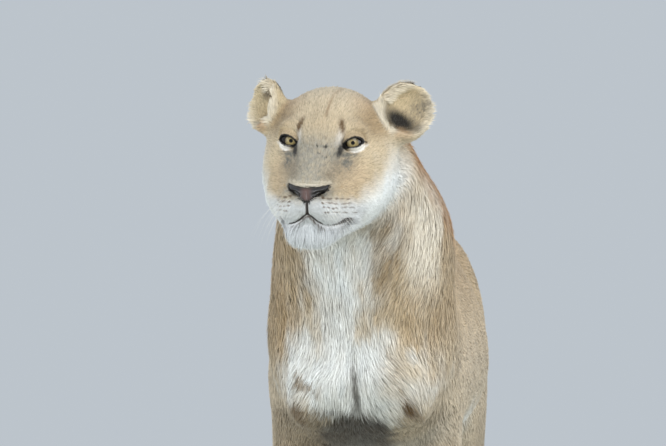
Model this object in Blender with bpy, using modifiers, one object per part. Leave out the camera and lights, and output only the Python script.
"""A life-size standing lioness as a still museum model, in metres, +Z up, facing -Y, her left side at +X.

The body is built up as clay: lofted trunk, neck, legs and tail, with muscles added as ellipsoids. The clay is
fused by a voxel remesh, smoothed, thinned to few triangles, and parted by thin cuts into named body parts.
Ears, eyes and the nose leather are separate pieces seated in the head. The solids reach to the tips of the coat.
"""

import math

import bmesh
import bpy
from mathutils import Euler, Matrix, Vector

# ---------------------------------------------------------------- driving sizes (metres, degrees)
WITHERS = 0.940          # height of the shoulder blades' tops, coat included
BACK = 0.872             # lowest point of the back line
CROUP = 0.895            # top of the rump
STERNUM = 0.470          # underside of the chest, between the forelegs
TRUNK_HALF = 0.180       # half the width of the rib cage
TAIL_DROP = 0.640        # how far the tail hangs below its root
EYE_LINE = Vector((-0.045, -0.780, 1.007))   # midpoint between the eyes
HEAD_YAW, HEAD_ROLL, HEAD_PITCH = -6.5, 1.9, 0.0
EYE_APART = 0.0515       # each eye's centre from the head's middle plane
EYE_RADIUS = 0.0185
FORELEG_OUT, HINDLEG_OUT = 0.110, 0.104      # each leg's middle plane from the body's
FORELEG_STEP, HINDLEG_STEP = 0.020, 0.030    # how far the left leg stands behind the right one, halved
GAP = 0.0004             # width of the thin cuts between body parts
VOXEL = 0.006
BODY_TRIANGLES = 4150
RING = 32                # points round a lofted section

FUR = ("tawny_coat", (0.46, 0.30, 0.16), 0.85)
EYE = ("amber_eye", (0.45, 0.28, 0.07), 0.12)
LEATHER = ("nose_leather", (0.16, 0.08, 0.07), 0.45)


# ---------------------------------------------------------------- helpers
def material(name, colour, roughness):
    made = bpy.data.materials.get(name) or bpy.data.materials.new(name)
    made.use_nodes = True
    shader = made.node_tree.nodes["Principled BSDF"]
    shader.inputs["Base Color"].default_value = (*colour, 1.0)
    shader.inputs["Roughness"].default_value = roughness
    shader.inputs["Metallic"].default_value = 0.0
    return made


def new_object(name, mesh, group):
    made = bpy.data.objects.new(name, mesh)
    group.objects.link(made)
    return made


def baked(obj):
    """A new mesh with the object's modifiers applied."""
    bpy.context.view_layer.update()
    graph = bpy.context.evaluated_depsgraph_get()
    return bpy.data.meshes.new_from_object(obj.evaluated_get(graph))


def bake_in_place(obj):
    mesh = baked(obj)
    obj.modifiers.clear()
    obj.vertex_groups.clear()
    obj.data = mesh


def placed(location, turn=(0.0, 0.0, 0.0), size=(1.0, 1.0, 1.0)):
    """A matrix from a location, a turn in degrees and three radii."""
    rotation = Euler([math.radians(a) for a in turn]).to_matrix().to_4x4()
    return Matrix.Translation(location) @ rotation @ Matrix.Diagonal((*size, 1.0))


def soft_step(low, high, value):
    t = min(max((value - low) / (high - low), 0.0), 1.0)
    return t * t * (3 - 2 * t)


class Clay:
    """Ellipsoids and lofts gathered in one mesh, to be fused into one body."""

    def __init__(self, space=None):
        self.mesh = bmesh.new()
        self.space = space or Matrix.Identity(4)

    def ball(self, centre, radii, turn=(0.0, 0.0, 0.0), around=24):
        bmesh.ops.create_uvsphere(
            self.mesh, u_segments=around, v_segments=around * 2 // 3, radius=1.0,
            matrix=self.space @ placed(centre, turn, radii),
        )

    def pair(self, centre, radii, turn=(0.0, 0.0, 0.0)):
        """The same ellipsoid on the left and, mirrored, on the right."""
        for side in (1, -1):
            self.ball(
                (side * centre[0], centre[1], centre[2]), radii,
                (turn[0], side * turn[1], side * turn[2]),
            )

    def loft(self, sections):
        """A closed tube through sections of (centre, up, half width, rise, drop, taper, fullness).
        Rise and drop are the heights above and below the centre; taper narrows the upper half;
        fullness makes the section squarer."""
        rings = []
        for i, (centre, up, half_width, rise, drop, taper, fullness) in enumerate(sections):
            centre = Vector(centre)
            before = Vector(sections[max(i - 1, 0)][0])
            after = Vector(sections[min(i + 1, len(sections) - 1)][0])
            up = Vector(up).normalized()
            across = (after - before).cross(up).normalized()
            ring = []
            for k in range(RING):
                angle = 2 * math.pi * k / RING
                c, s = math.cos(angle), math.sin(angle)
                c = math.copysign(abs(c) ** (1 - fullness), c)
                s = math.copysign(abs(s) ** (1 - fullness), s)
                point = centre + up * (rise if c > 0 else drop) * c + across * half_width * s * (1 - taper * c)
                ring.append(self.mesh.verts.new(self.space @ point))
            rings.append(ring)
        for low, high in zip(rings, rings[1:]):
            for k in range(RING):
                j = (k + 1) % RING
                self.mesh.faces.new((low[k], low[j], high[j], high[k]))
        self.mesh.faces.new(rings[0][::-1])
        self.mesh.faces.new(rings[-1])

    def add(self, other):
        mesh = bpy.data.meshes.new("clay")
        other.mesh.to_mesh(mesh)
        self.mesh.from_mesh(mesh)
        bpy.data.meshes.remove(mesh)
        other.mesh.free()

    def to_object(self, name, group):
        bmesh.ops.recalc_face_normals(self.mesh, faces=self.mesh.faces)
        mesh = bpy.data.meshes.new(name)
        self.mesh.to_mesh(mesh)
        self.mesh.free()
        return new_object(name, mesh, group)


def trunk_section(y, top, belly, half_width, taper, fullness=0.0, middle=0.46):
    """One upright section of the trunk, from its belly and back heights. Middle is where it is widest."""
    centre = belly + (top - belly) * middle
    return ((0.0, y, centre), (0, 0, 1), half_width, top - centre, centre - belly, taper, fullness)


def leg_section(x, y, z, half_width, half_depth):
    """One level section of a leg."""
    return ((x, y, z), (0, -1, 0), half_width, half_depth, half_depth, 0.0, 0.0)


# ---------------------------------------------------------------- trunk and neck
def add_trunk(clay):
    clay.loft([
        trunk_section(-0.622, 0.760, 0.610, 0.070, 0.00, 0.10),
        trunk_section(-0.595, 0.820, 0.560, 0.112, 0.05, 0.15),
        trunk_section(-0.545, 0.870, 0.520, 0.138, 0.10, 0.18),
        trunk_section(-0.470, 0.905, 0.490, 0.150, 0.16, 0.18),
        trunk_section(-0.390, 0.930, STERNUM + 0.006, 0.157, 0.36, 0.16),
        trunk_section(-0.300, WITHERS, STERNUM, 0.160, 0.46, 0.12),
        trunk_section(-0.180, 0.908, STERNUM - 0.005, 0.167, 0.38, 0.08),
        trunk_section(-0.050, BACK + 0.006, STERNUM - 0.010, 0.175, 0.26, 0.04),
        trunk_section(0.100, BACK, STERNUM - 0.005, TRUNK_HALF, 0.22, 0.02),
        trunk_section(0.240, BACK + 0.008, 0.488, 0.170, 0.26, 0.02),
        trunk_section(0.360, CROUP - 0.004, 0.522, 0.148, 0.42),
        trunk_section(0.460, CROUP, 0.556, 0.132, 0.46),
        trunk_section(0.560, 0.872, 0.600, 0.114, 0.40),
        trunk_section(0.630, 0.835, 0.650, 0.088, 0.10),
        trunk_section(0.665, 0.800, 0.700, 0.045, 0.00),
    ])
    clay.pair((0.026, -0.290, 0.874), (0.026, 0.110, 0.056), (-12, 0, 0))       # tops of the shoulder blades
    clay.pair((0.036, 0.400, 0.832), (0.034, 0.090, 0.046))                     # hip bones
    clay.pair((0.066, -0.540, 0.640), (0.070, 0.076, 0.125), (-6, -10, 0))      # breast muscles
    clay.ball((0.0, 0.240, 0.518), (0.090, 0.150, 0.040))                       # loose belly fold


def neck_slice(top, throat, half_width, lean=0.0, taper=0.0, fullness=0.04):
    """A section between a point (y, z) on the nape and one on the throat; lean moves it to her left."""
    top, throat = (Vector((lean, *point)) for point in (top, throat))
    half = (top - throat) / 2
    return (throat + half, half, half_width, half.length, half.length, taper, fullness)


def add_neck(clay):
    clay.loft([
        neck_slice((-0.240, 0.915), (-0.560, 0.600), 0.150, 0.000, 0.30),
        neck_slice((-0.330, 0.944), (-0.630, 0.690), 0.152, 0.002, 0.22),
        neck_slice((-0.420, 0.972), (-0.655, 0.772), 0.143, 0.001, 0.19),
        neck_slice((-0.500, 1.006), (-0.670, 0.832), 0.126, -0.008, 0.24),
        neck_slice((-0.560, 1.042), (-0.684, 0.862), 0.114, -0.013, 0.16),
        neck_slice((-0.610, 1.072), (-0.700, 0.890), 0.102, -0.018, 0.08),
    ])


# ---------------------------------------------------------------- legs and tail
def add_foreleg(clay, side):
    x = side * FORELEG_OUT
    back = side * FORELEG_STEP
    clay.ball((side * 0.082, -0.360, 0.745), (0.042, 0.125, 0.165), (-22, -side * 12, 0))   # shoulder blade
    clay.ball((side * 0.107, -0.475, 0.680), (0.059, 0.085, 0.125), (20, 0, 0))            # point of the shoulder
    clay.ball((side * 0.119, -0.340, 0.635), (0.052, 0.105, 0.135), (24, 0, 0))            # triceps
    clay.loft([
        leg_section(x, -0.420, 0.700, 0.046, 0.120),
        leg_section(x, -0.400, 0.620, 0.052, 0.112),
        leg_section(x, -0.380, 0.560, 0.055, 0.098),
        leg_section(x, -0.366 + back * 0.3, 0.500, 0.054, 0.082),
        leg_section(x, -0.362 + back * 0.5, 0.430, 0.052, 0.070),
        leg_section(x - side * 0.003, -0.364 + back * 0.7, 0.350, 0.049, 0.060),
        leg_section(x - side * 0.006, -0.364 + back * 0.9, 0.270, 0.043, 0.049),
        leg_section(x - side * 0.008, -0.368 + back, 0.205, 0.041, 0.044),
        leg_section(x - side * 0.008, -0.368 + back, 0.160, 0.046, 0.047),
        leg_section(x - side * 0.007, -0.372 + back, 0.115, 0.044, 0.044),
        leg_section(x - side * 0.006, -0.382 + back, 0.078, 0.047, 0.048),
        leg_section(x - side * 0.006, -0.390 + back, 0.046, 0.042, 0.044),
    ])
    add_paw(clay, x - side * 0.006, -0.415 + back, 0.124, 0.170)


def add_hindleg(clay, side):
    x = side * HINDLEG_OUT
    back = side * HINDLEG_STEP
    clay.ball((side * 0.090, 0.475, 0.682), (0.064, 0.150, 0.165), (16, -side * 8, 0))     # haunch
    clay.ball((side * 0.094, 0.410, 0.600), (0.054, 0.095, 0.130), (-26, 0, 0))            # front of the thigh
    clay.ball((side * 0.086, 0.565, 0.640), (0.052, 0.090, 0.150), (10, 0, 0))             # back of the thigh
    clay.loft([
        leg_section(x, 0.475, 0.740, 0.030, 0.120),
        leg_section(x, 0.474, 0.660, 0.050, 0.150),
        leg_section(x, 0.470, 0.590, 0.056, 0.142),
        leg_section(x, 0.466 + back * 0.2, 0.520, 0.054, 0.120),
        leg_section(x, 0.480 + back * 0.4, 0.455, 0.049, 0.094),
        leg_section(x, 0.512 + back * 0.6, 0.390, 0.043, 0.070),
        leg_section(x, 0.556 + back * 0.8, 0.325, 0.038, 0.055),
        leg_section(x, 0.594 + back, 0.272, 0.035, 0.048),
        leg_section(x, 0.606 + back, 0.215, 0.034, 0.040),
        leg_section(x, 0.602 + back, 0.150, 0.035, 0.037),
        leg_section(x, 0.595 + back, 0.095, 0.038, 0.040),
        leg_section(x, 0.588 + back, 0.050, 0.038, 0.040),
    ])
    clay.ball((x, 0.628 + back, 0.278), (0.024, 0.028, 0.036))                             # point of the hock
    add_paw(clay, x, 0.560 + back, 0.112, 0.156)


def add_paw(clay, x, y, width, length):
    """A broad foot with four toes, its sole a little below the floor, where it is cut flat."""
    clay.ball((x, y + 0.005, 0.034), (width * 0.47, length * 0.42, 0.046))
    for k in range(4):
        across = (k - 1.5) / 1.5
        forward = length * (0.33 if k in (1, 2) else 0.22)
        clay.ball(
            (x + across * width * 0.335, y - forward, 0.024),
            (width * 0.165, length * 0.23, 0.037), (-16, 0, -across * 9),
        )


def tail_point(share):
    """The tail's middle line: back from the rump, down behind the thighs, then out to a lightly raised tip."""
    fall = 0.800 - TAIL_DROP * math.sin(share * math.pi / 2) ** 1.25
    out = 0.620 + 0.150 * math.sin(min(share * 2.2, 1.0) * math.pi / 2) + 0.22 * max(share - 0.60, 0.0) ** 1.4
    lift = 0.150 * max(share - 0.76, 0.0) ** 1.2
    return Vector((0.050 * share ** 2, out, fall + lift))


def tail_radius(share):
    tuft = max(share - 0.72, 0.0) / 0.28
    return 0.019 + 0.020 * (1 - share) ** 2.2 + 0.013 * math.sin(math.pi * tuft ** 0.9) - 0.015 * tuft ** 3


def add_tail(clay):
    steps = 26
    sections = []
    for i in range(steps + 1):
        share = i / steps
        ahead = tail_point(min(share + 0.02, 1.0)) - tail_point(max(share - 0.02, 0.0))
        radius = tail_radius(share)
        sections.append((tail_point(share), (0, -ahead.z, ahead.y), radius, radius, radius, 0.0, 0.0))
    clay.loft(sections)


# ---------------------------------------------------------------- head
HEAD = (
    Matrix.Translation(EYE_LINE)
    @ Matrix.Rotation(math.radians(HEAD_YAW), 4, "Z")
    @ Matrix.Rotation(math.radians(HEAD_ROLL), 4, "Y")
    @ Matrix.Rotation(math.radians(HEAD_PITCH), 4, "X")
)


def head_section(forward, top, bottom, half_width, widest, taper=0.0, fullness=0.0):
    """An upright slice of the head, forward of the eyes; widest is the level of its greatest width."""
    return ((0.0, -forward, widest), (0, 0, 1), half_width, top - widest, widest - bottom, taper, fullness)


def head_clay():
    """In head space: x to her left, -y forward, z up, from the midpoint between the eyes."""
    clay = Clay(HEAD)
    clay.loft([                                                                   # skull, cheeks and muzzle
        head_section(0.122, -0.080, -0.110, 0.020, -0.097),
        head_section(0.114, -0.068, -0.120, 0.038, -0.102, 0.10, 0.10),
        head_section(0.100, -0.056, -0.128, 0.049, -0.103, 0.16, 0.12),
        head_section(0.080, -0.040, -0.132, 0.054, -0.102, 0.22, 0.12),
        head_section(0.055, -0.018, -0.134, 0.057, -0.094, 0.26, 0.10),
        head_section(0.030, 0.006, -0.140, 0.064, -0.080, 0.24, 0.08),
        head_section(0.010, 0.030, -0.146, 0.077, -0.068, 0.18, 0.06),
        head_section(-0.010, 0.054, -0.152, 0.091, -0.056, 0.12, 0.06),
        head_section(-0.030, 0.074, -0.154, 0.102, -0.047, 0.10, 0.05),
        head_section(-0.055, 0.088, -0.152, 0.110, -0.040, 0.08, 0.05),
        head_section(-0.085, 0.094, -0.147, 0.113, -0.036, 0.06, 0.05),
        head_section(-0.120, 0.091, -0.136, 0.108, -0.032, 0.06, 0.04),
        head_section(-0.155, 0.078, -0.116, 0.096, -0.026, 0.04, 0.02),
        head_section(-0.185, 0.055, -0.088, 0.072, -0.018),
    ])
    clay.loft([                                                                   # bridge of the nose
        head_section(0.116, -0.070, -0.100, 0.026, -0.084, 0.0, 0.20),
        head_section(0.090, -0.043, -0.090, 0.031, -0.062, 0.0, 0.22),
        head_section(0.060, -0.014, -0.070, 0.030, -0.036, 0.0, 0.22),
        head_section(0.030, 0.016, -0.040, 0.030, -0.006, 0.0, 0.18),
        head_section(0.005, 0.041, -0.020, 0.034, 0.018, 0.0, 0.14),
        head_section(-0.030, 0.070, 0.000, 0.040, 0.040, 0.0, 0.10),
    ])
    clay.loft([                                                                   # lower jaw
        head_section(0.106, -0.126, -0.158, 0.024, -0.142),
        head_section(0.096, -0.118, -0.169, 0.040, -0.145, 0.0, 0.10),
        head_section(0.074, -0.108, -0.174, 0.046, -0.143, 0.0, 0.10),
        head_section(0.040, -0.100, -0.169, 0.053, -0.134),
        head_section(0.000, -0.090, -0.162, 0.070, -0.122),
        head_section(-0.050, -0.080, -0.154, 0.088, -0.110),
        head_section(-0.100, -0.070, -0.142, 0.088, -0.100),
    ])
    clay.pair((0.046, 0.015, 0.025), (0.035, 0.024, 0.014), (0, 8, -26))         # brows
    clay.pair((0.076, 0.034, -0.030), (0.026, 0.046, 0.022), (0, 0, -24))        # cheek bones
    clay.pair((0.0255, -0.090, -0.106), (0.0290, 0.0300, 0.0245), (16, 0, -10))  # whisker pads
    clay.pair((0.055, 0.020, -0.084), (0.041, 0.060, 0.050), (0, 0, -20))        # cheeks
    return clay


# ---------------------------------------------------------------- fusing and thinning
def soft_share(point):
    """How much a point is smoothed: fully on the trunk and neck, less on the legs, head and tail."""
    high = soft_step(0.42, 0.60, point.z)
    off_head = soft_step(0.04, 0.17, (HEAD.inverted() @ point).y)
    off_tail = 1 - soft_step(0.64, 0.70, point.y)
    return high * off_head * off_tail


def keep_share(point):
    """How much of its fineness a point keeps: most on the face and paws."""
    face = 1 - soft_step(-0.02, 0.16, (HEAD.inverted() @ point).y)
    paw = 1 - soft_step(0.06, 0.12, point.z)
    return 0.9 * max(face, 0.6 * paw)


def weigh(obj, name, share):
    group = obj.vertex_groups.new(name=name)
    for vertex in obj.data.vertices:
        group.add([vertex.index], share(vertex.co), "REPLACE")
    return group.name


def fuse(body):
    """Fuses the clay, smooths it lightly everywhere and long on the trunk and neck."""
    remesh = body.modifiers.new("fuse", "REMESH")
    remesh.mode = "VOXEL"
    remesh.voxel_size = VOXEL
    bake_in_place(body)
    light = body.modifiers.new("light", "SMOOTH")
    light.factor = 0.5
    light.iterations = 6
    long = body.modifiers.new("long", "SMOOTH")
    long.factor = 0.5
    long.iterations = 75
    long.vertex_group = weigh(body, "soft", soft_share)
    bake_in_place(body)


def thin(body):
    """Thins the fine mesh to few triangles, keeping more on the face and paws."""
    triangles = body.modifiers.new("triangles", "TRIANGULATE")
    triangles.quad_method = "SHORTEST_DIAGONAL"
    bake_in_place(body)
    fewer = body.modifiers.new("thin", "DECIMATE")
    fewer.ratio = BODY_TRIANGLES / len(body.data.polygons)
    fewer.vertex_group = weigh(body, "keep", keep_share)
    fewer.invert_vertex_group = True
    fewer.vertex_group_factor = 0.02
    fewer.use_collapse_triangulate = True
    bake_in_place(body)


def cut_soles(body):
    """Cuts everything below the floor away, which leaves a flat sole under each paw."""
    mesh = bmesh.new()
    mesh.from_mesh(body.data)
    bmesh.ops.bisect_plane(
        mesh, geom=[*mesh.verts, *mesh.edges, *mesh.faces],
        plane_co=(0, 0, 0), plane_no=(0, 0, -1), clear_outer=True,
    )
    rim = [edge for edge in mesh.edges if edge.is_boundary]
    bmesh.ops.holes_fill(mesh, edges=rim, sides=0)
    mesh.to_mesh(body.data)
    mesh.free()


# ---------------------------------------------------------------- parting cuts
def cut(target, cutter, keep="DIFFERENCE"):
    boolean = target.modifiers.new("cut", "BOOLEAN")
    boolean.object = cutter
    boolean.operation = keep
    boolean.solver = "EXACT"
    bake_in_place(target)


def hide(cutter):
    cutter.hide_render = True
    cutter.display_type = "WIRE"


def slab(name, group, centre, normal, width, depth):
    """A plate of the gap's thickness, centred on a point and square to a direction."""
    mesh = bmesh.new()
    turn = Vector(normal).to_track_quat("Z", "Y").to_matrix().to_4x4()
    bmesh.ops.create_cube(
        mesh, size=1.0, matrix=Matrix.Translation(centre) @ turn @ Matrix.Diagonal((width, depth, GAP, 1.0)),
    )
    data = bpy.data.meshes.new(name)
    mesh.to_mesh(data)
    mesh.free()
    made = new_object(name, data, group)
    hide(made)
    return made


def folded_shell(name, group, side, outline, front, back):
    """A hollow prism with walls of the gap's thickness: an (x, z) outline drawn out from front to back."""
    mesh = bmesh.new()
    ends = [[mesh.verts.new((side * x, y, z)) for x, z in outline] for y in (front, back)]
    mesh.faces.new(ends[0])
    mesh.faces.new(ends[1][::-1])
    for k in range(len(outline)):
        j = (k + 1) % len(outline)
        mesh.faces.new((ends[0][j], ends[0][k], ends[1][k], ends[1][j]))
    bmesh.ops.recalc_face_normals(mesh, faces=mesh.faces)
    data = bpy.data.meshes.new(name)
    mesh.to_mesh(data)
    mesh.free()
    made = new_object(name, data, group)
    wall = made.modifiers.new("wall", "SOLIDIFY")
    wall.thickness = GAP
    wall.offset = 0.0
    wall.use_even_offset = True
    hide(made)
    return made


FORE_OUTLINE = ((0.030, -0.10), (0.030, 0.440), (0.078, 0.540), (0.088, 0.640), (0.30, 0.660), (0.30, -0.10))
HIND_OUTLINE = ((0.030, -0.10), (0.030, 0.480), (0.066, 0.600), (0.074, 0.720), (0.30, 0.740), (0.30, -0.10))


def part_body(body, cutters):
    """Cuts the body with thin plates and shells, so that it falls into its named lengths."""
    for side, word in ((1, "left"), (-1, "right")):
        cut(body, folded_shell(f"cut_shoulder_{word}", cutters, side, FORE_OUTLINE, -0.70, -0.215))
        cut(body, folded_shell(f"cut_haunch_{word}", cutters, side, HIND_OUTLINE, 0.325, 0.725))
        for name, x, y, z, width in (
            ("elbow", FORELEG_OUT, -0.37, 0.400, 0.26), ("wrist", FORELEG_OUT, -0.37, 0.118, 0.20),
            ("knee", HINDLEG_OUT, 0.48, 0.440, 0.30), ("ankle", HINDLEG_OUT, 0.60, 0.110, 0.20),
        ):
            depth = width + 0.06
            cut(body, slab(f"cut_{name}_{word}", cutters, (side * x, y, z), (0, 0, 1), min(width, 0.20), depth))
    for share in (0.14, 0.45, 0.78):
        ahead = tail_point(share + 0.01) - tail_point(share - 0.01)
        cut(body, slab(f"cut_tail_{int(share * 100)}", cutters, tail_point(share), ahead, 0.12, 0.12))
    nape = HEAD @ Vector((0.0, 0.125, -0.020))
    cut(body, slab("cut_nape", cutters, nape, (0.08, -0.92, 0.38), 0.50, 0.42))
    cut(body, slab("cut_neck", cutters, (0.0, -0.455, 0.800), (0.0, -0.66, 0.75), 0.50, 0.62))


def islands(obj):
    """The object's loose pieces as vertex groups, largest first."""
    mesh = bmesh.new()
    mesh.from_mesh(obj.data)
    mesh.verts.ensure_lookup_table()
    left = set(range(len(mesh.verts)))
    found = []
    while left:
        queue = [left.pop()]
        piece = set(queue)
        while queue:
            for edge in mesh.verts[queue.pop()].link_edges:
                for vertex in edge.verts:
                    if vertex.index in left:
                        left.discard(vertex.index)
                        piece.add(vertex.index)
                        queue.append(vertex.index)
        found.append(piece)
    mesh.free()
    return sorted(found, key=len, reverse=True)


def split(body, group):
    """One object per loose piece, named by where its middle lies."""
    made = []
    for piece in islands(body):
        mesh = bmesh.new()
        mesh.from_mesh(body.data)
        bmesh.ops.delete(mesh, geom=[v for v in mesh.verts if v.index not in piece], context="VERTS")
        low = [min(v.co[i] for v in mesh.verts) for i in range(3)]
        high = [max(v.co[i] for v in mesh.verts) for i in range(3)]
        middle = Vector([(a + b) / 2 for a, b in zip(low, high)])
        data = bpy.data.meshes.new("piece")
        mesh.to_mesh(data)
        mesh.free()
        data.materials.clear()
        data.materials.append(material(*FUR))
        name = piece_name(middle, Vector(high) - Vector(low))
        made.append(new_object(name, data, group))
    return made


def piece_name(middle, size):
    side = "left" if middle.x > 0 else "right"
    if middle.z > 0.93 and middle.y < -0.66:
        return "head"
    if size.y > 0.9:
        return "trunk"
    if middle.z > 0.80 and middle.y < -0.40:
        return "neck"
    if middle.y > 0.62 and size.x < 0.085 and abs(middle.x) < 0.075:
        for word, level in (("upper", 0.45), ("lower", 0.24), ("tuft", -1.0)):
            if middle.z > level:
                return f"tail_{word}"
    if middle.y < 0:
        for word, level in (("upper_foreleg", 0.42), ("forearm", 0.15), ("forepaw", -1.0)):
            if middle.z > level:
                return f"{side}_{word}"
    for word, level in (("thigh", 0.45), ("shank", 0.15), ("hind_paw", -1.0)):
        if middle.z > level:
            return f"{side}_{word}"
    return "piece"


# ---------------------------------------------------------------- ears, eyes and nose leather
def grown(obj, name, group, by):
    """A copy pushed outward by a small distance, used to leave a gap round a seated piece."""
    made = new_object(name, obj.data.copy(), group)
    push = made.modifiers.new("push", "DISPLACE")
    push.strength = by
    push.mid_level = 0.0
    bake_in_place(made)
    hide(made)
    return made


def solid(name, group, space, centre, radii, turn=(0.0, 0.0, 0.0), around=24):
    clay = Clay(space)
    clay.ball(centre, radii, turn, around)
    return clay.to_object(name, group)


EARS = {
    # side: (root in head space, outward lean, outward turn of the opening, backward lean, size)
    1: ((0.103, 0.080, 0.018), 30, 26, 8, 1.00),
    -1: ((-0.1010, 0.070, 0.0315), 46, 44, 10, 0.91),      # this ear is drawn back and folded a little
}


def add_ears(head, lioness, cutters):
    rim = grown(head, "cut_ear_roots", cutters, GAP)
    for side, (root, lean, turn, back, size) in EARS.items():
        word = "left" if side > 0 else "right"
        space = HEAD @ placed(root, (-back, side * lean, side * turn), (size, size, size))
        ear = solid(f"{word}_ear", lioness, space, (0, 0, 0.040), (0.050, 0.030, 0.054), (0, 0, 0), 18)
        cup = solid(f"cut_{word}_ear_cup", cutters, space, (0, -0.019, 0.045), (0.040, 0.034, 0.046), (0, 0, 0), 15)
        hide(cup)
        cut(ear, cup)
        cut(ear, rim)
        ear.data.materials.clear()
        ear.data.materials.append(material(*FUR))


def add_eyes_and_nose(head, lioness, cutters):
    pieces = []
    for side, word in ((1, "left"), (-1, "right")):
        eye = solid(f"{word}_eye", lioness, HEAD, (side * EYE_APART, 0.006, 0.0), [EYE_RADIUS] * 3, (90, 0, 0), 15)
        eye.data.materials.append(material(*EYE))
        pieces.append(eye)
    nose = solid("nose", lioness, HEAD, (0.001, -0.1025, -0.0850), (0.0345, 0.021, 0.0145), (-26, 0, 0), 15)
    nose.data.materials.append(material(*LEATHER))
    pieces.append(nose)
    for piece in pieces:
        cut(head, grown(piece, f"cut_{piece.name}_seat", cutters, GAP))


def stand_on_origin(group):
    """Moves everything so that the middle of the whole lies over the origin and the soles on the floor."""
    made = list(group.objects)
    corners = [vertex.co for obj in made for vertex in obj.data.vertices]
    low = [min(c[i] for c in corners) for i in range(3)]
    high = [max(c[i] for c in corners) for i in range(3)]
    shift = Matrix.Translation((-(low[0] + high[0]) / 2, -(low[1] + high[1]) / 2, -low[2]))
    for obj in made:
        obj.data.transform(shift)
    return shift


# ---------------------------------------------------------------- build
def build():
    for obj in list(bpy.data.objects):
        bpy.data.objects.remove(obj)
    lioness = bpy.data.collections.new("lioness")
    cutters = bpy.data.collections.new("cutters")
    for group in (lioness, cutters):
        bpy.context.scene.collection.children.link(group)

    clay = Clay()
    add_trunk(clay)
    add_neck(clay)
    for side in (1, -1):
        add_foreleg(clay, side)
        add_hindleg(clay, side)
    add_tail(clay)
    clay.add(head_clay())
    body = clay.to_object("body", cutters)
    fuse(body)
    thin(body)
    cut_soles(body)
    part_body(body, cutters)
    parts = {part.name: part for part in split(body, lioness)}
    bpy.data.objects.remove(body)
    head = parts["head"]
    add_ears(head, lioness, cutters)
    add_eyes_and_nose(head, lioness, cutters)
    stand_on_origin(lioness)


build()
